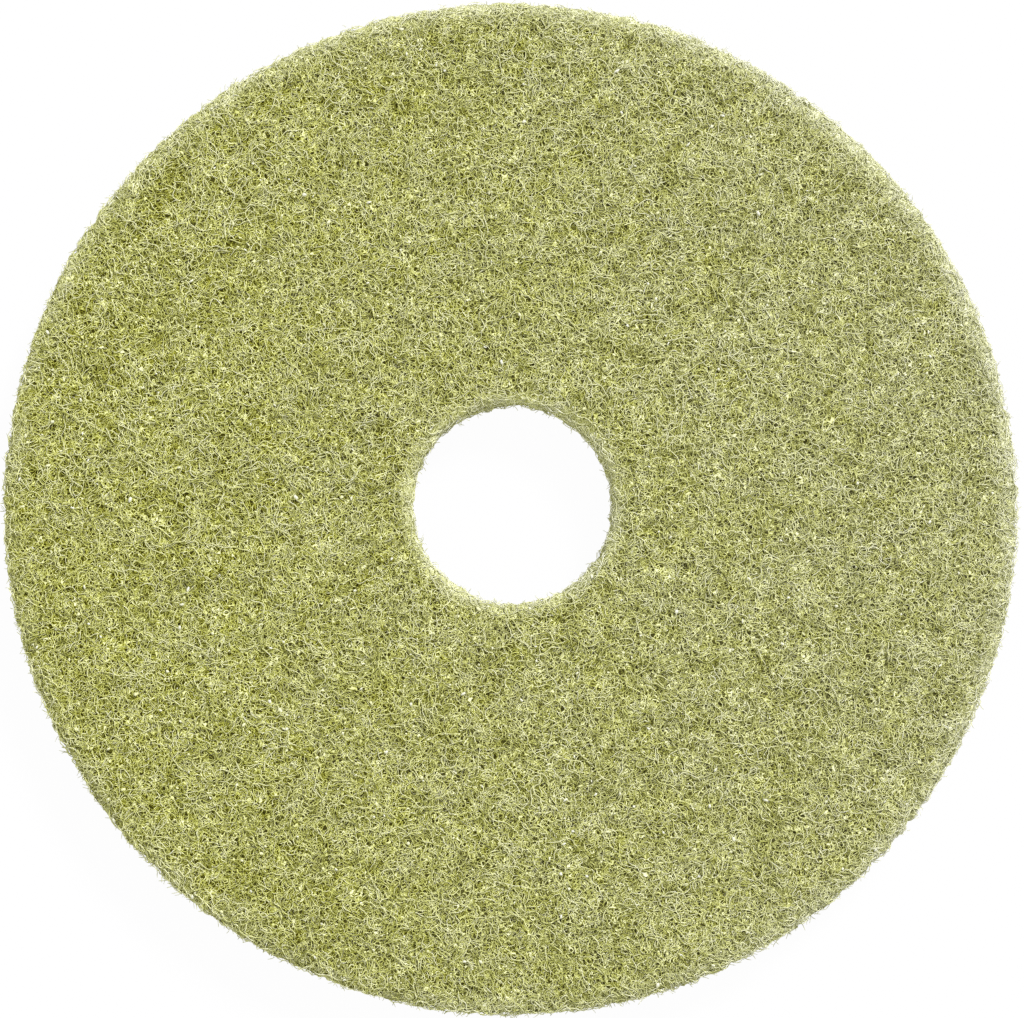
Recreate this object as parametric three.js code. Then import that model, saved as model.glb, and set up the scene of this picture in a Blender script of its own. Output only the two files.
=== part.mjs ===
// Floor polishing pad: a round disc punched from one thick sheet of springy non-woven
// nylon web, with a round hole in its middle for the centre lock of a floor machine.
//
// Millimetres, +Z up. The origin is the centre of the face that lies on the floor, and
// the pad's axis is Z. It is one piece: a ring of rectangular section whose four edges
// slope away and are rounded, because the punch presses the web down before it cuts
// through. Each edge is a quarter of an ellipse, wider across the face than down the wall.

import * as THREE from "three";

// Driving dimensions.
const padDiameter = 432;
const holeDiameter = 85.5;
const padThickness = 25;
const outerEdgeAcross = 9;
const outerEdgeDown = 4.5;
const holeEdgeAcross = 7;
const holeEdgeDown = 4;

// Facets round the pad, and steps along each rounded edge.
const facetsRound = 120;
const stepsPerEdge = 6;

const padRadius = padDiameter / 2;
const holeRadius = holeDiameter / 2;

// Points of a quarter of an ellipse round (centreR, centreZ), anticlockwise from
// startAngle, each as (radius from the pad's axis, height).
function roundedEdge(centreR, centreZ, across, down, startAngle) {
  const points = [];
  for (let step = 0; step <= stepsPerEdge; step += 1) {
    const angle = startAngle + (step / stepsPerEdge) * (Math.PI / 2);
    points.push(
      new THREE.Vector2(
        centreR + across * Math.cos(angle),
        centreZ + down * Math.sin(angle),
      ),
    );
  }
  return points;
}

// The section of the ring, drawn anticlockwise from the floor face's outer edge, up the
// outer wall, in across the top face and down the wall of the hole.
function padSection() {
  const outerR = padRadius - outerEdgeAcross;
  const holeR = holeRadius + holeEdgeAcross;
  const outerTopZ = padThickness - outerEdgeDown;
  const holeTopZ = padThickness - holeEdgeDown;
  const section = [
    ...roundedEdge(outerR, outerEdgeDown, outerEdgeAcross, outerEdgeDown, -Math.PI / 2),
    ...roundedEdge(outerR, outerTopZ, outerEdgeAcross, outerEdgeDown, 0),
    ...roundedEdge(holeR, holeTopZ, holeEdgeAcross, holeEdgeDown, Math.PI / 2),
    ...roundedEdge(holeR, holeEdgeDown, holeEdgeAcross, holeEdgeDown, Math.PI),
  ];
  section.push(section[0].clone());
  return section;
}

// LatheGeometry turns a section round Y, so the finished ring is tipped up to stand on Z.
function padGeometry() {
  const geometry = new THREE.LatheGeometry(padSection(), facetsRound);
  geometry.rotateX(Math.PI / 2);
  return geometry;
}

const fibreWeb = new THREE.MeshStandardMaterial({
  name: "fibre_web",
  color: new THREE.Color().setRGB(0.66, 0.665, 0.42, THREE.SRGBColorSpace),
  roughness: 0.9,
  metalness: 0,
});

const polishingPad = new THREE.Mesh(padGeometry(), fibreWeb);
polishingPad.name = "polishing_pad";

const floorPad = new THREE.Group();
floorPad.name = "floor_polishing_pad";
floorPad.add(polishingPad);

export default floorPad;
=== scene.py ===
# %% [markdown]
# # A floor polishing pad
#
# The object is a thick round disc with a hole in its middle, punched from a springy web
# of crimped nylon fibres that a resin holds together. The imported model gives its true
# size as one plain ring. This notebook builds what the eye sees: a dark, lumpy body and,
# over it, thousands of real fibres that cross, dive and rise.

import bpy
import numpy as np
from mathutils import Matrix, Vector


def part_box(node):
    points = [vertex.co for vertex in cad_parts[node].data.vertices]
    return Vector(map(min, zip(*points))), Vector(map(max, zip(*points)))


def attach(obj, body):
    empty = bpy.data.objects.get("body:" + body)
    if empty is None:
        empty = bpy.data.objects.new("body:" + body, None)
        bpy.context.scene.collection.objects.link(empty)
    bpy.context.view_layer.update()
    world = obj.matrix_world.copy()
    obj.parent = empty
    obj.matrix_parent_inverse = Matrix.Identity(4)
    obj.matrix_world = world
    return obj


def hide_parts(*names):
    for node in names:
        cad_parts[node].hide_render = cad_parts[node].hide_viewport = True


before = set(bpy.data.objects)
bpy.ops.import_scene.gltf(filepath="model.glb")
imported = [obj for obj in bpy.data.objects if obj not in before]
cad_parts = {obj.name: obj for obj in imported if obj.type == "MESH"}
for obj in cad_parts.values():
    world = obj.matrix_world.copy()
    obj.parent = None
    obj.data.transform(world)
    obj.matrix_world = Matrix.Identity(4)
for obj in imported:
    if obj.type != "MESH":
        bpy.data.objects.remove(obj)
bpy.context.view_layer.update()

# %% [markdown]
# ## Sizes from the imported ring
#
# Sizes could be typed in a second time, but then two files would have to agree. So every
# size that the ring already has is measured from it, and the fibres follow if the ring
# changes. The radius and the height are in its box. The hole isn't, but it is the smallest
# distance of any corner of the ring from the Z axis. Only the rounded edges are repeated.

# %% Measure the ring
MM = 0.001

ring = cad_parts["polishing_pad"]
ring_corners = np.empty(3 * len(ring.data.vertices))
ring.data.vertices.foreach_get("co", ring_corners)
ring_corners = ring_corners.reshape(-1, 3)

pad_radius = float(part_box("polishing_pad")[1].x)
pad_thickness = float(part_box("polishing_pad")[1].z)
hole_radius = float(np.hypot(ring_corners[:, 0], ring_corners[:, 1]).min())
outer_edge_across, outer_edge_down = 9 * MM, 4.5 * MM
hole_edge_across, hole_edge_down = 7 * MM, 4 * MM
print(f"pad {pad_radius / MM:.1f} mm in radius, {pad_thickness / MM:.1f} mm thick, "
      f"hole {hole_radius / MM:.1f} mm in radius")

# %% [markdown]
# ## The camera
#
# The picture is taken from almost straight above. Its outline is a hair shorter than it is
# wide and the hole sits a little high in it, which gives away a camera that leans a few
# degrees towards the foot of the picture. The lens follows from one more fact: the outline
# of the pad covers a known number of pixels. Seen at a lean, a disc shrinks by the cosine
# of the lean in one direction, and because its near side looks larger, the middle of its
# outline lies off its centre, towards the camera, by radius squared x sine / distance.

# %% Place the camera
picture_width_px = 1024
picture_middle_px = (512.0, 509.0)
outline_middle_px = (510.85, 509.05)
outline_radius_px = 506.3
sensor_width = 36.0
camera_distance = 1.6
camera_reach = 20
camera_tilt = np.radians(5.2)
camera_side = np.radians(248)

widest_level = pad_thickness - outer_edge_down
metres_per_px = pad_radius * (1 + np.cos(camera_tilt)) / 2 / outline_radius_px
lead = pad_radius ** 2 * np.sin(camera_tilt) / camera_distance
camera_data = bpy.data.cameras.new("overhead_camera")
camera_data.sensor_width = sensor_width
camera_data.lens = sensor_width * camera_distance / (picture_width_px * metres_per_px)
camera_data.clip_end = camera_reach

# The camera looks along -back. Sideways and upwards are the picture's own directions.
back = Vector((
    np.sin(camera_tilt) * np.cos(camera_side),
    np.sin(camera_tilt) * np.sin(camera_side),
    np.cos(camera_tilt),
))
sideways = Vector((0, 1, 0)).cross(back).normalized()
upwards = back.cross(sideways)
aim = (
    Vector((lead * np.cos(camera_side), lead * np.sin(camera_side), widest_level))
    + sideways * (picture_middle_px[0] - outline_middle_px[0]) * metres_per_px
    + upwards * (outline_middle_px[1] - picture_middle_px[1]) * metres_per_px
)
camera = bpy.data.objects.new("overhead_camera", camera_data)
camera.matrix_world = Matrix((
    (sideways.x, upwards.x, back.x, 0),
    (sideways.y, upwards.y, back.y, 0),
    (sideways.z, upwards.z, back.z, 0),
    (0, 0, 0, 1),
))
camera.location = aim + back * camera_distance
bpy.context.scene.collection.objects.link(camera)
bpy.context.scene.camera = camera
bpy.context.scene.view_settings.view_transform = "Standard"
bpy.context.scene.cycles.use_denoising = False
bpy.context.scene.cycles.diffuse_bounces = 2
bpy.context.scene.cycles.glossy_bounces = 1
print(f"lens {camera_data.lens:.1f} mm at {camera_distance} m")

# %% [markdown]
# ## Sums in a shader
#
# A finish is a small program made of nodes. Wiring Math nodes by hand hides the sum that
# they make, so one class stands for a socket and turns `a * b + 1` into the nodes for it.
# Every other node comes from its one method `node`, settings first and sockets second.


# %% A socket that can be used in sums
class Wire:
    """The output socket of a node, with + - * / between wires and plain numbers."""

    def __init__(self, tree, socket):
        self.tree = tree
        self.socket = socket

    @staticmethod
    def node(tree, kind, settings=None, sockets=None, output=0):
        """Adds a node of a kind, sets it up, fills its sockets and gives one output."""
        made = tree.nodes.new("ShaderNode" + kind)
        for name, value in (settings or {}).items():
            if name == "stops":
                Wire.set_stops(made.color_ramp, value)
            else:
                setattr(made, name, value)
        for name, value in (sockets or {}).items():
            if isinstance(value, Wire):
                tree.links.new(value.socket, made.inputs[name])
            else:
                made.inputs[name].default_value = value
        return Wire(tree, made.outputs[output]) if made.outputs else None

    @staticmethod
    def set_stops(ramp, stops):
        """Gives a colour ramp its stops, each a position and a linear colour."""
        while len(ramp.elements) < len(stops):
            ramp.elements.new(1.0)
        for element, (position, colour) in zip(ramp.elements, stops):
            element.position = position
            element.color = (*colour, 1.0)

    def sibling(self, name):
        """Another output of the same node."""
        return Wire(self.tree, self.socket.node.outputs[name])

    def maths(self, operation, first, second=0.0):
        """One Math node on two numbers or wires."""
        return Wire.node(
            self.tree, "Math", {"operation": operation}, {0: first, 1: second}
        )

    def __add__(self, other):
        return self.maths("ADD", self, other)

    __radd__ = __add__

    def __sub__(self, other):
        return self.maths("SUBTRACT", self, other)

    def __rsub__(self, other):
        return self.maths("SUBTRACT", other, self)

    def __mul__(self, other):
        return self.maths("MULTIPLY", self, other)

    __rmul__ = __mul__

    def __truediv__(self, other):
        return self.maths("DIVIDE", self, other)

    def __rtruediv__(self, other):
        return self.maths("DIVIDE", other, self)

    def __abs__(self):
        return self.maths("ABSOLUTE", self)

    def root(self):
        """The square root."""
        return self.maths("SQRT", self)

    def whole(self):
        """The whole number below it."""
        return self.maths("FLOOR", self)

    def fraction(self):
        """How far it lies above that whole number."""
        return self.maths("FRACT", self)


def mixed(factor, first, second):
    """The colour first where the factor is 0 and second where it is 1."""
    return Wire.node(
        factor.tree, "Mix", {"data_type": "RGBA"}, {0: factor, 6: first, 7: second}, output=2
    )


def falling(distance, reach):
    """1 where a distance is 0, sinking smoothly to 0 at a reach."""
    return Wire.node(
        distance.tree,
        "MapRange",
        {"interpolation_type": "SMOOTHSTEP"},
        {"Value": distance, "From Min": 0.0, "From Max": reach, "To Min": 1.0, "To Max": 0.0},
    )


# %% [markdown]
# ## The light
#
# The picture has soft light from its upper right. Area lamps could give it, but their
# light would fade across the pad, so a broad sun gives it, a weak one from the other side
# opens the shadows, and an even sky does the rest. Together they make a level white sheet
# come out just white. To the camera the sky is simply white.


# %% Light the scene
sky_level = 0.46
white = (1, 1, 1, 1)


def sun(name, strength, softness_deg, direction):
    """A sun that shines from a direction, as broad as an angle in degrees."""
    data = bpy.data.lights.new(name, "SUN")
    data.energy = strength
    data.angle = np.radians(softness_deg)
    lamp = bpy.data.objects.new(name, data)
    lamp.rotation_mode = "QUATERNION"
    lamp.rotation_quaternion = Vector(direction).to_track_quat("Z", "Y")
    bpy.context.scene.collection.objects.link(lamp)
    print(f"{name}: strength {strength}, {softness_deg} degrees broad")


def seen_directly(tree):
    """1 for rays from the camera, from a mirror or through glass, and 0 for others."""
    camera_ray = Wire.node(tree, "LightPath", output="Is Camera Ray")
    mirror_ray = camera_ray.sibling("Is Glossy Ray")
    glass_ray = camera_ray.sibling("Is Transmission Ray")
    return Wire.node(tree, "Clamp", {}, {"Value": camera_ray + mirror_ray + glass_ray})


sun("key_light", strength=2.75, softness_deg=16, direction=(0.49, 0.7, 0.7))
sun("fill_light", strength=0.5, softness_deg=60, direction=(-0.6, -0.7, 0.8))

world = bpy.data.worlds.new("sky")
bpy.context.scene.world = world
world.use_nodes = True
sky = world.node_tree
sky.nodes.clear()
sky_strength = seen_directly(sky) * (1 - sky_level) + sky_level
background = Wire.node(sky, "Background", {}, {"Color": white, "Strength": sky_strength})
Wire.node(sky, "OutputWorld", {}, {"Surface": background})

# %% [markdown]
# ## The floor
#
# The pad lies on plain white ground with hardly a shadow. A white sheet under these lamps
# would still show a grey one. So the sheet is mostly plain white to the camera and keeps
# a small share of its true shading, and with it the shadow of the pad.

# %% Lay the floor
floor_half_side = 6.0
floor_drop = 0.05 * MM
floor_whiteness = 0.97
paper_colour = (0.92, 0.92, 0.92, 1)

floor_mesh = bpy.data.meshes.new("floor")
floor_mesh.from_pydata(
    [
        (x * floor_half_side, y * floor_half_side, -floor_drop)
        for x, y in ((-1, -1), (1, -1), (1, 1), (-1, 1))
    ],
    [],
    [(0, 1, 2, 3)],
)
floor = bpy.data.objects.new("floor", floor_mesh)
bpy.context.scene.collection.objects.link(floor)

paper = bpy.data.materials.new("white_paper")
paper.use_nodes = True
sheet = paper.node_tree
sheet.nodes.clear()
lit = Wire.node(sheet, "BsdfDiffuse", {}, {"Color": paper_colour})
plain = Wire.node(sheet, "Emission", {}, {"Color": white, "Strength": 1.0})
plain_share = seen_directly(sheet) * floor_whiteness
surface = Wire.node(sheet, "MixShader", {}, {0: plain_share, 1: lit, 2: plain})
Wire.node(sheet, "OutputMaterial", {}, {"Surface": surface})
floor_mesh.materials.append(paper)
print(f"floor {2 * floor_half_side:.0f} m across")

# %% [markdown]
# ## The section of the pad
#
# The punch presses the web down before it cuts through, so all four edges slope away. Cut
# along a radius, the pad is a long low shape with a quarter of an ellipse at each corner.
# It is drawn once, clockwise, and the places where its stretches begin are kept.

# %% Draw the section
edge_turn = np.linspace(0, np.pi / 2, 15)


def rounded(centre_r, centre_z, across, down, start):
    """A quarter of an ellipse, clockwise: centre + (across cos, down sin)(start - turn)."""
    angle = start - edge_turn
    return np.c_[centre_r + across * np.cos(angle), centre_z + down * np.sin(angle)]


outer_r = pad_radius - outer_edge_across
hole_r = hole_radius + hole_edge_across
outer_top_z = pad_thickness - outer_edge_down
hole_top_z = pad_thickness - hole_edge_down
section = np.vstack([
    rounded(hole_r, hole_top_z, hole_edge_across, hole_edge_down, np.pi),
    rounded(outer_r, outer_top_z, outer_edge_across, outer_edge_down, np.pi / 2),
    rounded(outer_r, outer_edge_down, outer_edge_across, outer_edge_down, 0),
    rounded(hole_r, hole_edge_down, hole_edge_across, hole_edge_down, -np.pi / 2),
])
section = np.vstack([section, section[:1]])
run = np.r_[0, np.cumsum(np.linalg.norm(np.diff(section, axis=0), axis=1))]
section_length = run[-1]

# The places along the section, from the start of the rounded top edge of the hole.
edge_points = len(edge_turn)
top_start, top_end = run[edge_points - 1], run[edge_points]
wall_start, wall_end = run[2 * edge_points - 1], run[2 * edge_points]
bottom_start, bottom_end = run[3 * edge_points - 1], run[3 * edge_points]
hole_wall_start = run[4 * edge_points - 1]
print(f"section {section_length / MM:.1f} mm round, top face from "
      f"{top_start / MM:.1f} to {top_end / MM:.1f} mm")

# %% [markdown]
# ## The skin of the pad
#
# Everything in this notebook lies on the pad's skin or a little under it. So the skin is
# one function of three numbers: how far along the section a point lies, how far it is
# turned round the axis, and how deep it is below the skin. A fibre that runs over the edge
# of the pad then bends over it by itself, and needs no projection onto a mesh.


# %% Turn the section into a skin
def section_at(along):
    """Radius and height at a distance along the section, which repeats."""
    along = np.mod(along, section_length)
    return np.interp(along, run, section[:, 0]), np.interp(along, run, section[:, 1])


def skin(along, turn, depth):
    """A point under the skin: (r - d n_r) (cos t, sin t) and z - d n_z.

    The section runs clockwise, so its outward normal n is its direction turned left.
    """
    nudge = 0.4 * MM
    r_before, z_before = section_at(along - nudge)
    r_after, z_after = section_at(along + nudge)
    across_r, across_z = z_before - z_after, r_after - r_before
    size = np.hypot(across_r, across_z)
    radius, height = section_at(along)
    radius = radius - depth * across_r / size
    height = height - depth * across_z / size
    return np.stack([radius * np.cos(turn), radius * np.sin(turn), height], axis=-1)


# %% [markdown]
# ## Smooth chance
#
# Tufts, hollows and patches of colour change slowly from place to place without any
# pattern. A table of noise would have to be stored and blended. A sum of many sine waves
# that run in random directions costs little instead, and is the same at every run because
# its random numbers are seeded.


# %% A smooth random field
def drift(points, wavelength, seed, waves=28):
    """Sum of sin(k . p + phase) over random waves, scaled to a spread of about 1."""
    rng = np.random.default_rng(seed)
    direction = rng.normal(size=(waves, 3))
    direction /= np.linalg.norm(direction, axis=1, keepdims=True)
    rate = 2 * np.pi / (wavelength * rng.uniform(0.7, 1.5, waves))
    phase = rng.uniform(0, 2 * np.pi, waves)
    flat = points.reshape(-1, 3)
    total = np.sin(flat @ (direction * rate[:, None]).T + phase).sum(axis=1)
    return (total * np.sqrt(2 / waves)).reshape(points.shape[:-1])


# %% [markdown]
# ## The two cut walls
#
# The outer wall and the wall of the hole are cut, and there the web differs: its resin is
# worn at the edges of both faces, and the freed fibres spring out unevenly. The outer rim
# is palest at its upper right, towards the key light, and the rim of the hole at its lower
# left, which faces that light. Light alone doesn't make them so pale, so painted light is
# added to the wear: paler and whiter on the lit sides, and paler all round the hole. Two
# functions say where all this is, one for the wear with its painted light and one for how
# far a wall stands out. Body and fibres both use them.

# %% Find the cut walls
# How far in from each cut wall the wear and the painted light reach.
outer_wear_and_light_reach = 12 * MM
hole_wear_and_light_reach = 8 * MM
# The lit side, towards the key light: painted light makes the outer rim paler and whiter there.
lit_side = np.radians(65)
# The even share is wear all round; the side share is painted light, by the cosine from the lit
# side.
even_share, lit_side_share = 0.65, 0.35
# The rim of the hole is paler all round, from wear and painted light.
hole_paleness = 1.2
mid_height_share = 0.4
swell_level = 0.45 * MM
swell_wave, swell_length = 0.38 * MM, 7 * MM


def smooth(level):
    """A level from 0 to 1, eased in and out: 3 x^2 - 2 x^3."""
    level = np.clip(level, 0, 1)
    return level * level * (3 - 2 * level)


def near_walls(points):
    """1 at the outer wall and 1 at the hole's, each sinking to 0 at a short way from it."""
    radius = np.hypot(points[..., 0], points[..., 1])
    outer = 1 - (pad_radius - radius) / outer_wear_and_light_reach
    inner = 1 - (radius - hole_radius) / hole_wear_and_light_reach
    return smooth(outer), smooth(inner)


def edge_wear_and_light(points):
    """Shares of paler tone and of bare white fibre, from worn resin and painted light, less at
    mid height of a wall.

    With c the cosine of the angle from the lit side, the outer rim has a share of
    even + side c, and the white at the hole one of even - side c. The even part is wear and
    the part in c is painted light on the side towards the key light.
    """
    x, y = points[..., 0], points[..., 1]
    toward = (x * np.cos(lit_side) + y * np.sin(lit_side)) / np.hypot(x, y)
    from_middle = np.abs(2 * points[..., 2] / pad_thickness - 1)
    upright = mid_height_share + (1 - mid_height_share) * smooth(from_middle)
    outer, inner = near_walls(points)
    # Wear all round plus painted light on the lit side; at the hole the painted white is on the
    # side facing the light.
    outer = outer * (even_share + lit_side_share * toward)
    white_inner = inner * (even_share - lit_side_share * toward)
    return (outer + hole_paleness * inner) * upright, (outer + white_inner) * upright


def wall_swell(points):
    """How far a wall stands out: a level and a wave, fading out towards the faces."""
    from_face = np.minimum(points[..., 2], pad_thickness - points[..., 2])
    outer, inner = near_walls(points)
    share = (outer + inner) * smooth(from_face / outer_edge_down)
    return share * (swell_level + swell_wave * drift(points, swell_length, seed=8))


# %% [markdown]
# ## The body of the web
#
# Between the fibres at the surface the eye looks into the depth of the web, which is dark
# and uneven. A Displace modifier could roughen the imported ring, but its facets are long and
# thin. So the body is one closed grid, the section carried round the axis, and set in by a
# millimetre or so with hollows and tufts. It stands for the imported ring.

# %% Make the lumpy body
body_depth = 1.2 * MM
least_depth = 0.45 * MM
hollow_depth, hollow_length = 0.38 * MM, 7.5 * MM
tuft_height, tuft_length = 0.25 * MM, 20 * MM
body_columns = 500


def body_rows():
    """Places along the section: close together on what the light rakes across."""
    return np.concatenate([
        np.linspace(0, top_start, 6, endpoint=False),
        np.linspace(top_start, top_end, 50, endpoint=False),
        np.linspace(top_end, wall_start, 7, endpoint=False),
        np.linspace(wall_start, wall_end, 7, endpoint=False),
        np.linspace(wall_end, bottom_start, 6, endpoint=False),
        np.linspace(bottom_start, bottom_end, 30, endpoint=False),
        np.linspace(bottom_end, hole_wall_start, 5, endpoint=False),
        np.linspace(hole_wall_start, section_length, 7, endpoint=False),
    ])


def new_piece(name, points, quads, triangles):
    """A piece of the pad with smooth shading, from corner points and faces."""
    mesh = bpy.data.meshes.new(name)
    mesh.vertices.add(len(points))
    mesh.vertices.foreach_set("co", points.astype(np.float32).ravel())
    corners = np.concatenate([quads.ravel(), triangles.ravel()]).astype(np.int32)
    mesh.loops.add(len(corners))
    mesh.loops.foreach_set("vertex_index", corners)
    starts = np.r_[np.arange(len(quads)) * 4, quads.size + np.arange(len(triangles)) * 3]
    mesh.polygons.add(len(starts))
    mesh.polygons.foreach_set("loop_start", starts.astype(np.int32))
    mesh.update(calc_edges=True)
    mesh.shade_smooth()
    piece = bpy.data.objects.new(name, mesh)
    bpy.context.scene.collection.objects.link(piece)
    print(f"{name}: {len(points)} corners, {2 * len(quads) + len(triangles)} triangles")
    return piece


no_faces = np.empty((0, 3), int)
rows, columns = np.meshgrid(
    body_rows(), np.arange(body_columns) * 2 * np.pi / body_columns, indexing="ij"
)
base = skin(rows, columns, 0)
hollows = hollow_depth * drift(base, hollow_length, seed=1)
tufts = tuft_height * drift(base, tuft_length, seed=2)
lumpy_depth = (body_depth + hollows - tufts).clip(least_depth, None) - wall_swell(base)
body_points = skin(rows, columns, lumpy_depth)
cell = np.arange(rows.size).reshape(rows.shape)
next_row = np.roll(cell, -1, axis=0)
next_column = np.roll(cell, -1, axis=1)
next_both = np.roll(next_row, -1, axis=1)
body_quads = np.stack([cell, next_row, next_both, next_column], axis=-1).reshape(-1, 4)
body = new_piece("fibre_web_body", body_points.reshape(-1, 3), body_quads, no_faces)
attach(body, "root")
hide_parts("polishing_pad")

# %% [markdown]
# ## The path of a fibre
#
# A crimped fibre wanders: its heading swings to and fro and slowly turns. Particle hair
# could scatter such fibres, but its ends stick out and the export needs meshes. Here the
# sum of small turns gives the heading, and the sum of small steps gives the path on the
# skin. The depth swings too, so that a fibre passes over some and under others, and both
# its ends dive into the body, where the resin holds them.

# %% Let the fibres wander
swing_share = (0.4, 1.0)
swing_pace = (0.6, 1.6)
jitter_deg = 10
step_share = (0.8, 1.2)
dives_in_a_fibre = (1.2, 3.2)


def evenly_spread(rng, count, low, high):
    """Places along the section, as dense on a small radius as on a large one."""
    table = np.linspace(low, high, 400)
    share = np.r_[0, np.cumsum(section_at(table)[0][1:])]
    return np.interp(rng.uniform(0, share[-1], count), share, table)


def wander(rng, count, steps, step, between, crimp_deg, curl_deg):
    """Paths on the skin: heading_k = first + sum of turns, place_k = sum of steps."""
    index = np.arange(steps)
    curl = rng.normal(0, curl_deg, (count, 1))
    swing = rng.uniform(*swing_share, (count, 1)) * crimp_deg
    pace = rng.uniform(*swing_pace, (count, 1))
    start = rng.uniform(0, 2 * np.pi, (count, 1))
    jitter = rng.normal(0, jitter_deg, (count, steps))
    turns = curl + swing * np.sin(pace * index + start) + jitter
    first = rng.uniform(0, 360, (count, 1))
    heading = np.radians(first + np.cumsum(turns, axis=1))
    reach = step * rng.uniform(*step_share, (count, 1))
    along = np.c_[np.zeros(count), np.cumsum(np.cos(heading) * reach, axis=1)]
    middle = evenly_spread(rng, count, *between)
    along = along - along[:, [steps // 2]] + middle[:, None]
    radius = section_at(along[:, 1:])[0]
    turn = np.c_[np.zeros(count), np.cumsum(np.sin(heading) * reach / radius, axis=1)]
    turn = turn - turn[:, [steps // 2]] + rng.uniform(0, 2 * np.pi, (count, 1))
    return along, turn


def dive(rng, count, steps, shallow, deep, ends):
    """Depth along a fibre: a swing between shallow and deep, and both ends sunk.

    The share of sinking is |2 part - 1|^6, so only the last stretches sink.
    """
    part = np.linspace(0, 1, steps + 1)
    pace = rng.uniform(*dives_in_a_fibre, (count, 1))
    swing = 0.5 + 0.5 * np.sin(2 * np.pi * (pace * part + rng.uniform(0, 1, (count, 1))))
    sunk = np.abs(2 * part - 1) ** 6
    return (shallow + (deep - shallow) * swing) * (1 - sunk) + ends * sunk


def sprout(rng, count, steps, lowest, highest):
    """Depth along a loose end, from the body to a peak outside: its share is part^1.5."""
    part = np.linspace(0, 1, steps + 1) ** 1.5
    peak = -rng.uniform(lowest, highest, (count, 1))
    return body_depth + (peak - body_depth) * part


# %% [markdown]
# ## A fibre as a solid
#
# Each fibre is a closed three-sided tube, the least that has a true thickness and a true
# shadow. Its corners are its path plus a small triangle across it, and the floor presses
# flat what would reach below it. The colour of a fibre is looked up on a small chart:
# across is its tone, from dark to pale, and up is its whiteness, from the yellow-green of
# the resin to bare nylon. The map that holds these two numbers also serves the export,
# which can then bake the chart instead of a million tiny islands.

# %% Build the tubes
sides = 3
chart_step = 0.006
tip_loss = 0.45


def chart_of(piece, tone, whiteness, corners):
    """Gives each corner of a piece its place on the chart, kept inside its frame."""
    chart = np.stack([tone.ravel(), whiteness.ravel()], axis=-1).clip(0, 1)
    layer = piece.data.uv_layers.new(name="OFBake")
    layer.uv.foreach_set("vector", chart[corners].astype(np.float32).ravel())


def tubes(name, along, turn, depth, thickness, tone, whiteness):
    """Closed tubes along paths: p_k + radius (cos a, sin a) across the path at k.

    The radius shrinks towards both tips by a share of x^4, with x from -1 to 1.
    """
    count, stops = along.shape
    path = skin(along, turn, depth)
    outward = skin(along, turn, depth - 1 * MM) - path
    forward = np.gradient(path, axis=1)
    forward /= np.linalg.norm(forward, axis=2, keepdims=True)
    across = np.cross(forward, outward)
    across /= np.linalg.norm(across, axis=2, keepdims=True)
    upward = np.cross(across, forward)
    taper = 1 - tip_loss * np.linspace(-1, 1, stops) ** 4
    radius = (0.5 * thickness * taper)[..., None, None]
    angle = (np.pi / 2 + np.arange(sides) * 2 * np.pi / sides)[:, None]
    offset = np.cos(angle) * across[:, :, None] + np.sin(angle) * upward[:, :, None]
    points = path[:, :, None] + radius * offset
    points[..., 2] = points[..., 2].clip(0, None)

    label = np.arange(points[..., 0].size).reshape(count, stops, sides)
    near, far = label[:, :-1], label[:, 1:]
    quads = np.stack(
        [near, far, np.roll(far, -1, axis=2), np.roll(near, -1, axis=2)], axis=-1
    )
    caps = np.vstack([label[:, 0], label[:, -1, ::-1]])
    piece = new_piece(name, points.reshape(-1, 3), quads.reshape(-1, 4), caps)

    # A face of the tube still needs a little area on the chart, so its corners part.
    zigzag = (np.arange(stops) % 2)[:, None] + np.array([0, 1, 0])
    chart_of(
        piece,
        tone[..., None] + 0.5 * chart_step * zigzag,
        whiteness[..., None] + chart_step * np.arange(sides),
        np.concatenate([quads.ravel(), caps.ravel()]),
    )
    return piece


# %% [markdown]
# ## The colour of each fibre
#
# Fibres near the surface are paler, and those below get painted shade, darker with depth.
# Short stretches along each get painted glints, paler or darker, and both change a little
# from patch to patch, with painted light a little paler towards +y. Most carry resin and a
# few are bare and white, and short white stretches are painted glints. Near the cut edges
# the resin is worn off and painted light is added on the lit side, so the fibres are paler
# and whiter there. Random numbers from a gamma law give the few bare ones and the white
# glints: most are near 0 and some are large.

# %% Tones of the fibres
# Worn resin and painted light at the cut edges pull tone and whiteness towards these.
worn_and_lit_tone = 0.98
wear_and_light_on_tone = 0.36
wear_and_light_on_whiteness = 0.4

# Painted glints: random paler and darker spots along each fibre.
painted_glint_spread = 0.13
# Painted shade: tone lost with depth under the skin.
painted_shade_per_mm = 0.2
# Painted light: a little paler towards +y.
painted_light_to_top = 0.025
tone_patches = [
    # share of tone, size of the patches, seed
    (0.065, 7 * MM, 4),
    (0.025, 20 * MM, 5),
    (0.02, 60 * MM, 6),
]
tone_limits = (0.01, 0.97)

whiteness_level = 0.04
# Painted light: whiter towards +x, the side of the key light.
painted_light_whiteness_to_right = 0.15
bare_fibres = (0.3, 0.05)
# Painted glints: short white stretches along a fibre.
painted_glint_stretches = (0.15, 0.2)
white_patch, white_patch_size = 0.04, 45 * MM
whiteness_limits = (0.01, 0.96)


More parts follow.
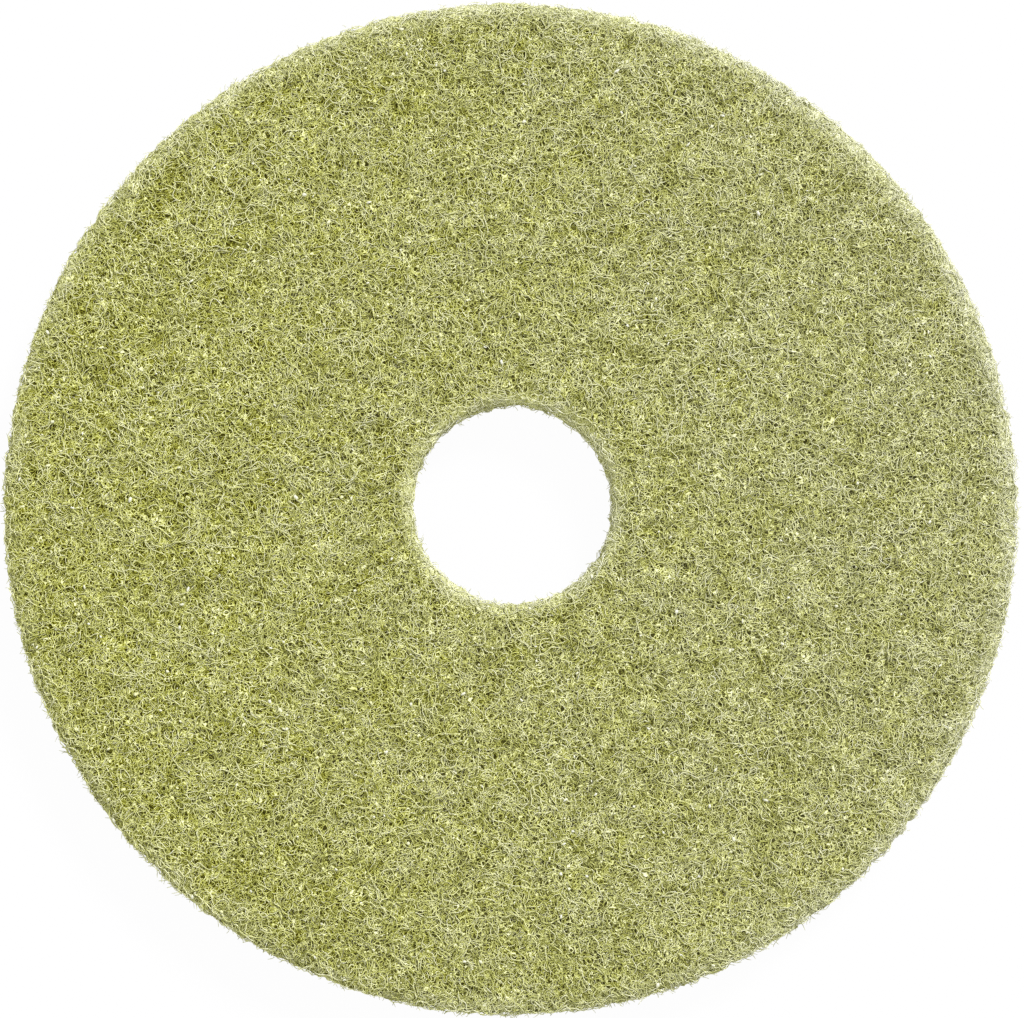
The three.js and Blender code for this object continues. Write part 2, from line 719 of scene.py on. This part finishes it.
def tone_of(rng, points, depth, level, spread):
    """Pale near the skin and darker with depth as painted shade, with a shift for each fibre,
    painted glints and painted light towards +y.
    """
    own = rng.normal(0, spread, (len(points), 1))
    painted_glint = rng.normal(0, painted_glint_spread, points.shape[:2])
    patch = sum(share * drift(points, size, seed) for share, size, seed in tone_patches)
    # Painted light, paler towards +y.
    rise = painted_light_to_top * points[..., 1] / pad_radius
    # Painted glints, and painted shade with depth.
    tone = level + own + painted_glint + patch + rise - painted_shade_per_mm * depth / MM
    # Paler at the cut edges from wear and painted light.
    tone = tone + wear_and_light_on_tone * edge_wear_and_light(points)[0] * (worn_and_lit_tone - tone)
    return tone.clip(*tone_limits)


def whiteness_of(rng, points):
    """Yellower towards -x and whiter towards +x as painted light, whiter at the edges from wear
    and painted light, with white painted glints.
    """
    # Bare fibres, and painted glints as short white stretches.
    own = rng.gamma(*bare_fibres, (len(points), 1)) + rng.gamma(*painted_glint_stretches, points.shape[:2])
    # Painted light: whiter towards +x.
    right = painted_light_whiteness_to_right * points[..., 0] / pad_radius
    patch = white_patch * drift(points, white_patch_size, seed=7)
    # Whiter at the cut edges from wear and painted light.
    worn_and_lit = wear_and_light_on_whiteness * edge_wear_and_light(points)[1]
    return (whiteness_level + right + patch + own + worn_and_lit).clip(*whiteness_limits)


# %% [markdown]
# ## Where the fibres go
#
# The face that shows gets three layers of fibres, each with its own depth. The wall, the
# hole and the underside get one layer each, and short loose ends stand up along the cut
# edges. One layer could hold them all, but a piece with fewer faces is easier to handle,
# and each has its own depth, tone and thickness.

# %% Lay the fibres
loose_thickness = 0.28 * MM
loose_rise = (0.2 * MM, 2.0 * MM)
around_hole = section_length + top_start
whole_top = (0, wall_start)


def layer_of_fibres(name, seed, count, steps, step, between, depths, ends, thickness, level):
    """One piece of the web: paths, depths, tones and tubes, all from one seed."""
    rng = np.random.default_rng(seed)
    along, turn = wander(rng, count, steps, step, between, crimp_deg=44, curl_deg=17)
    points = skin(along, turn, 0)
    depth = dive(rng, count, steps, *depths, ends)
    tone = tone_of(rng, points, depth, level, spread=0.09)
    depth = depth - wall_swell(points)
    whiteness = whiteness_of(rng, points)
    width = thickness * rng.uniform(0.75, 1.25, (count, 1))
    return tubes(name, along, turn, depth, width, tone, whiteness)


def loose_ends(name, seed, count, steps, step, between):
    """Short thin fibres that leave the skin. Their tone doesn't follow their depth."""
    rng = np.random.default_rng(seed)
    along, turn = wander(rng, count, steps, step, between, crimp_deg=40, curl_deg=15)
    depth = sprout(rng, count, steps, *loose_rise)
    points = skin(along, turn, 0)
    depth = depth - wall_swell(points)
    tone = tone_of(rng, points, 0 * depth, 0.86, spread=0.06)
    whiteness = whiteness_of(rng, points)
    width = loose_thickness * rng.uniform(0.8, 1.2, (count, 1))
    return tubes(name, along, turn, depth, width, tone, whiteness)


fibres = [
    layer_of_fibres(
        "top_fibres_low", seed=11, count=3120, steps=10, step=1.45 * MM, between=whole_top,
        depths=(0.35 * MM, 1.2 * MM), ends=1.9 * MM, thickness=0.42 * MM, level=0.91,
    ),
    layer_of_fibres(
        "top_fibres_middle", seed=12, count=3120, steps=10, step=1.45 * MM, between=whole_top,
        depths=(0.1 * MM, 1.0 * MM), ends=1.9 * MM, thickness=0.4 * MM, level=0.93,
    ),
    layer_of_fibres(
        "top_fibres_high", seed=13, count=3120, steps=10, step=1.4 * MM, between=whole_top,
        depths=(-0.1 * MM, 0.7 * MM), ends=1.8 * MM, thickness=0.38 * MM, level=0.95,
    ),
    layer_of_fibres(
        "wall_fibres", seed=14, count=1740, steps=10, step=1.5 * MM,
        between=(top_end, bottom_start),
        depths=(0.05 * MM, 0.9 * MM), ends=1.8 * MM, thickness=0.38 * MM, level=0.9,
    ),
    layer_of_fibres(
        "hole_fibres", seed=15, count=390, steps=10, step=1.5 * MM,
        between=(bottom_end, around_hole),
        depths=(0.1 * MM, 0.9 * MM), ends=1.8 * MM, thickness=0.36 * MM, level=0.94,
    ),
    layer_of_fibres(
        "bottom_fibres", seed=16, count=1050, steps=14, step=1.8 * MM,
        between=(wall_end, hole_wall_start),
        depths=(0.2 * MM, 1.0 * MM), ends=1.9 * MM, thickness=0.42 * MM, level=0.88,
    ),
    loose_ends(
        "outer_loose_ends", seed=17, count=1200, steps=6, step=0.8 * MM,
        between=(top_end, wall_end),
    ),
    loose_ends(
        "hole_loose_ends", seed=18, count=150, steps=6, step=0.7 * MM,
        between=(hole_wall_start, around_hole),
    ),
]

# %% [markdown]
# ## Specks of resin
#
# Where fibres cross, the resin has run together into small irregular drops, some yellow
# and some nearly white. Round balls would look like beads, so each is a ball of only
# twenty faces, pushed out of shape and flattened on the skin.

# %% Drop the resin
speck_size = 1.1 * MM
speck_depth = 0.6 * MM
speck_tone = (0.78, 0.97)
white_specks = 0.45
white_speck_whiteness, yellow_speck_whiteness = 0.75, 0.12


def ball():
    """The twelve corners and twenty faces of a regular icosahedron of radius 1."""
    golden = (1 + 5 ** 0.5) / 2
    corners = np.array([
        np.roll((0, one, two), shift)
        for shift in range(3)
        for one in (-1, 1)
        for two in (-golden, golden)
    ]) / np.hypot(1, golden)
    gaps = np.linalg.norm(corners[:, None] - corners[None], axis=2)
    side = np.sort(gaps, axis=1)[0, 1] * 1.01
    near = gaps < side
    faces = [
        (a, b, c)
        for a in range(12)
        for b in range(a + 1, 12)
        for c in range(b + 1, 12)
        if near[a, b] and near[b, c] and near[a, c]
    ]
    outward = [
        face if np.linalg.det(corners[list(face)]) > 0 else face[::-1] for face in faces
    ]
    return corners, np.array(outward)


def specks(name, seed, count, between):
    """Balls pushed out of shape, flattened on the skin and turned at random."""
    rng = np.random.default_rng(seed)
    corners, faces = ball()
    along = evenly_spread(rng, count, *between)
    turn = rng.uniform(0, 2 * np.pi, count)
    spin = rng.uniform(0, 2 * np.pi, (count, 1))
    half = 0.5 * speck_size * rng.gamma(6, 1 / 6, (count, 1)).clip(0.5, 1.8)
    lumps = rng.uniform(0.65, 1.15, (count, 12))
    long_way = lumps * half * rng.uniform(0.9, 1.6, (count, 1)) * corners[:, 0]
    short_way = lumps * half * rng.uniform(0.5, 0.9, (count, 1)) * corners[:, 1]
    upward = lumps * half * 0.6 * corners[:, 2]
    here = along[:, None] + long_way * np.cos(spin) - short_way * np.sin(spin)
    turned = long_way * np.sin(spin) + short_way * np.cos(spin)
    there = turn[:, None] + turned / section_at(along)[0][:, None]
    points = skin(here, there, speck_depth * rng.uniform(0.2, 1.0, (count, 1)) - upward)
    points[..., 2] = points[..., 2].clip(0, None)

    label = np.arange(count * 12).reshape(count, 12)
    triangles = label[:, faces].reshape(-1, 3)
    piece = new_piece(name, points.reshape(-1, 3), np.empty((0, 4), int), triangles)
    tone = rng.uniform(*speck_tone, (count, 1)) + chart_step * corners[:, 0]
    is_white = rng.uniform(size=(count, 1)) < white_specks
    own = np.where(is_white, white_speck_whiteness, yellow_speck_whiteness)
    whiteness = own + rng.normal(0, 0.08, (count, 1)) + chart_step * corners[:, 1]
    chart_of(piece, tone.clip(0.01, 0.99), whiteness.clip(0.01, 0.99), triangles.ravel())
    return piece


fibres.append(specks("resin_specks", seed=21, count=1300, between=(0, bottom_start)))
for piece in fibres:
    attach(piece, "root")

# %% [markdown]
# ## The finish of the fibres
#
# Nylon with a coat of resin is matt with a faint gloss. Its colour comes from the chart:
# one ramp goes from deep olive to pale straw, another from grey to white, and the
# whiteness mixes the two. One material then serves every fibre, where a material for each
# colour would need hundreds.


# %% Colours of the web
def linear(red, green, blue):
    """A screen colour from 0 to 255 as the linear colour that a node needs."""
    level = np.array([red, green, blue]) / 255
    low = level / 12.92
    high = ((level + 0.055) / 1.055) ** 2.4
    return tuple(float(x) for x in np.where(level <= 0.04045, low, high))


resin_stops = [
    (0.0, linear(32, 28, 0)),
    (0.25, linear(86, 83, 4)),
    (0.5, linear(167, 169, 60)),
    (0.7, linear(219, 222, 127)),
    (0.85, linear(248, 249, 174)),
    (1.0, linear(255, 255, 210)),
]
nylon_stops = [
    (0.0, linear(36, 36, 10)),
    (0.5, linear(188, 190, 152)),
    (0.8, linear(246, 246, 230)),
    (1.0, linear(255, 255, 250)),
]


def web_colour(tone, whiteness):
    """The colour of the web: a resin colour and a nylon colour of one tone, mixed."""
    resin = Wire.node(tone.tree, "ValToRGB", {"stops": resin_stops}, {"Fac": tone})
    nylon = Wire.node(tone.tree, "ValToRGB", {"stops": nylon_stops}, {"Fac": tone})
    return mixed(whiteness, resin, nylon)


def new_finish(name):
    """A material with an empty tree, ready for a surface."""
    material = bpy.data.materials.new(name)
    material.use_nodes = True
    material.node_tree.nodes.clear()
    return material, material.node_tree


def finish_with(tree, sockets):
    """Ends a tree in a Principled surface with these sockets."""
    surface = Wire.node(tree, "BsdfPrincipled", {}, sockets)
    Wire.node(tree, "OutputMaterial", {}, {"Surface": surface})
    print(f"{len(tree.nodes)} nodes in this finish")


fibre_finish, fibre_tree = new_finish("resin_coated_fibre")
chart = Wire.node(fibre_tree, "UVMap", {"uv_map": "OFBake"})
fibre_tone = Wire.node(fibre_tree, "SeparateXYZ", {}, {0: chart}, output="X")
finish_with(fibre_tree, {
    "Base Color": web_colour(fibre_tone, fibre_tone.sibling("Y")),
    "Roughness": 0.5,
    "Specular IOR Level": 0.25,
})
for piece in fibres:
    piece.data.materials.append(fibre_finish)

# %% [markdown]
# ## Painted fibres
#
# Under the real fibres lie many more, too fine and too many to build. They are painted on
# the body in two ways. Nets are the edges of random cells, which leave small dark pores.
# Strands are evenly spaced lines that a noise bends until they wind, each with its own
# tone. Strands alone would look like combed hair, and nets alone like foam.

# %% Nets and strands
body_finish, body_tree = new_finish("depth_of_the_web")
place = Wire.node(body_tree, "TexCoord", output="Object")
position = Wire.node(
    body_tree, "VectorMath", {"operation": "SCALE"}, {0: place, "Scale": 1 / MM}
)
seed_shift = (37.0, -53.0, 71.0)

# Two noises bend a strand: how often each changes in a mm, and its pull in spacings.
small_bends, small_pull = 0.36, 2.4
large_bends, large_pull = 0.09, 6
strand_slope = 0.6


def noise(seed, scale, detail=0.0, output="Fac"):
    """Noise in the unit 1 / mm, moved away from the others by its seed."""
    here = Wire.node(
        body_tree,
        "VectorMath",
        {"operation": "ADD"},
        {0: position, 1: [seed * shift for shift in seed_shift]},
    )
    sockets = {"Vector": here, "Scale": scale, "Detail": detail}
    return Wire.node(body_tree, "TexNoise", {}, sockets, output=output)


def strands(seed, spacing, heading_deg):
    """Distance in mm to the middle of a strand, and a chance number for each strand.

    The phase is p . direction / spacing + bends. Strands lie half way between its whole
    numbers.
    """
    heading = np.radians(heading_deg)
    direction = (float(np.cos(heading)), float(np.sin(heading)), strand_slope)
    straight = Wire.node(
        body_tree,
        "VectorMath",
        {"operation": "DOT_PRODUCT"},
        {0: position, 1: direction},
        output="Value",
    )
    bends = noise(seed, small_bends) * small_pull + noise(seed + 40, large_bends) * large_pull
    phase = straight / spacing + bends
    distance = abs(phase.fraction() - 0.5) * spacing
    number = phase.whole() + 100 * seed
    own = Wire.node(body_tree, "TexWhiteNoise", {"noise_dimensions": "1D"}, {"W": number})
    return distance, own


def net(seed, scale, bend):
    """Distance in mm to the nearest edge of random cells, bent by up to a length."""
    push = Wire.node(
        body_tree,
        "VectorMath",
        {"operation": "MULTIPLY_ADD"},
        {0: noise(seed, 0.45, output="Color"), 1: (bend, bend, bend), 2: position},
    )
    edges = Wire.node(
        body_tree,
        "TexVoronoi",
        {"feature": "DISTANCE_TO_EDGE"},
        {"Vector": push, "Scale": scale},
    )
    return edges / scale, noise(seed + 20, 0.25)


# %% [markdown]
# ## The finish of the body
#
# The layers are laid one over another, as the fibres are: first a slow change of tone for
# the deepest web, then the nets, then the strands, each paler than the last, so that the
# depth gets painted shade, and sunk out of sight here and there. Each layer paints a
# shadow, a dark line, on what is under it, and the last raises the surface too. The wear
# and the painted light of the cut edges, and the painted light that whitens towards +x,
# are the same as on the real fibres.

# %% Paint the body
# The shade of a line is a painted shadow on the layers under it.
line_reach, shade_reach, shade_strength = 1.3, 2.7, 0.74
spread_of_lines = 0.5
sunk_below, sunk_fade = 0.36, 0.1
# The deepest web is dark as painted shade.
deep_tone, deep_change = -0.08, 0.4
cloud_change = 0.7
body_whiteness, whiteness_change = -0.12, 0.5
relief_height = 0.5 * MM

# Each layer is paler than the one under it, so the depth gets painted shade.
net_layers = [
    # cells in each mm, half width of a line in mm, its tone
    (0.42, 0.24, 0.56),
    (0.38, 0.22, 0.75),
    (0.33, 0.21, 0.89),
]
strand_layers = [
    # spacing of the strands, half width of one, both in mm, its tone and its heading
    (2.3, 0.22, 0.92, 12),
    (2.6, 0.21, 0.96, 130),
    (2.4, 0.20, 1.0, 70),
]


def laid_on(tone, distance, own, width, level, above):
    """A layer over others: its dark line, a painted shadow, takes tone from them, then it covers
    them.
    """
    line = falling(distance, line_reach * width) * above
    shade = falling(distance, shade_reach * width) * above
    under = tone * (1 - shade_strength * shade)
    cover = cloud + level + (own - 0.5) * spread_of_lines
    return under + line * (cover - under), line


def edge_wear_and_light_wires():
    """The two shares of wear and painted light in the same steps as on the fibres, and the
    painted light that whitens towards +x.
    """
    x = Wire.node(body_tree, "SeparateXYZ", {}, {0: place}, output="X")
    y, z = x.sibling("Y"), x.sibling("Z")
    radius = (x * x + y * y).root()
    # Painted light on the lit side and wear at the cut edges, as on the fibres.
    toward = (x * float(np.cos(lit_side)) + y * float(np.sin(lit_side))) / radius
    from_middle = abs(z * (2 / pad_thickness) - 1)
    upright = 1 - (1 - mid_height_share) * falling(from_middle, 1.0)
    outer = falling(pad_radius - radius, outer_wear_and_light_reach)
    outer = outer * (even_share + lit_side_share * toward)
    inner = falling(radius - hole_radius, hole_wear_and_light_reach)
    white_inner = inner * (even_share - lit_side_share * toward)
    # Painted light: whiter towards +x, as on the fibres.
    right = x * (painted_light_whiteness_to_right / pad_radius)
    return (outer + hole_paleness * inner) * upright, (outer + white_inner) * upright, right


cloud = (noise(60, 0.22, detail=1.0) - 0.5) * cloud_change
tone = noise(9, 0.14, detail=2.0) * deep_change + deep_tone
for number, (scale, width, level) in enumerate(net_layers, start=1):
    distance, own = net(number, scale, bend=2.4)
    tone, line = laid_on(tone, distance, own, width, level, 1.0)
for number, (spacing, width, level, heading_deg) in enumerate(strand_layers, start=4):
    distance, own = strands(number, spacing, heading_deg)
    above = 1 - falling(noise(number + 20, 0.2) - sunk_below, sunk_fade)
    tone, line = laid_on(tone, distance, own, width, level, above)

# Paler and whiter at the cut edges from wear and painted light, and whiter towards +x as painted
# light.
paler, whiter, right = edge_wear_and_light_wires()
tone = tone + paler * wear_and_light_on_tone * (worn_and_lit_tone - tone)
patches = noise(50, 0.1, detail=2.0) * whiteness_change + body_whiteness
whiteness = patches + right + whiter * wear_and_light_on_whiteness
relief = Wire.node(
    body_tree, "Bump", {}, {"Strength": 0.8, "Distance": relief_height, "Height": line}
)
finish_with(body_tree, {
    "Base Color": web_colour(tone, whiteness),
    "Roughness": 0.75,
    "Specular IOR Level": 0.1,
    "Normal": relief,
})
body.data.materials.append(body_finish)
